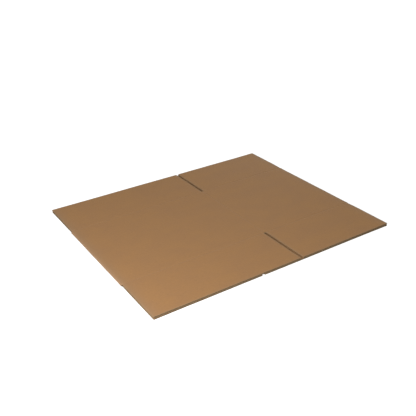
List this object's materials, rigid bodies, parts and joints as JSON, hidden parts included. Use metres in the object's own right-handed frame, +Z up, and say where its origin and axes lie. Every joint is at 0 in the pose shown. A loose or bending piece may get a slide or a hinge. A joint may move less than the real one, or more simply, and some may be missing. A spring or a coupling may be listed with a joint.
{
  "type": "flattened cardboard box",
  "caption": "Corrugated cardboard shipping box folded flat, two layers of creased board with slotted flaps; the upper flaps fold back.",
  "frame": {"origin": "middle of the underside of the flat pack, which lies on the floor", "axes": "+X across the panels from the left fold to the right fold, +Y along the flutes from the front flaps to the back flaps, +Z up through the two layers"},
  "size_m": [0.6058, 0.5088, 0.0069],
  "materials": {
    "kraft_board": "plain brown kraft liner, matt, unprinted"
  },
  "bodies": {
    "box_body": {"box_body": "kraft_board"},
    "front_long_flap": {"front_long_flap": "kraft_board"},
    "front_short_flap": {"front_short_flap": "kraft_board"},
    "back_long_flap": {"back_long_flap": "kraft_board"},
    "back_short_flap": {"back_short_flap": "kraft_board"}
  },
  "joints": [
    {"name": "front_long_flap_crease", "type": "hinge", "parent": "box_body", "child": "front_long_flap", "pos_m": [-0.1265, -0.1279, 0.0071], "axis": [-1, 0, 0], "range_deg": [0, 180]},
    {"name": "front_short_flap_crease", "type": "hinge", "parent": "box_body", "child": "front_short_flap", "pos_m": [0.1765, -0.1279, 0.0071], "axis": [-1, 0, 0], "range_deg": [0, 180]},
    {"name": "back_long_flap_crease", "type": "hinge", "parent": "box_body", "child": "back_long_flap", "pos_m": [-0.1265, 0.1279, 0.0071], "axis": [1, 0, 0], "range_deg": [0, 180]},
    {"name": "back_short_flap_crease", "type": "hinge", "parent": "box_body", "child": "back_short_flap", "pos_m": [0.1765, 0.1279, 0.0071], "axis": [1, 0, 0], "range_deg": [0, 180]}
  ]
}
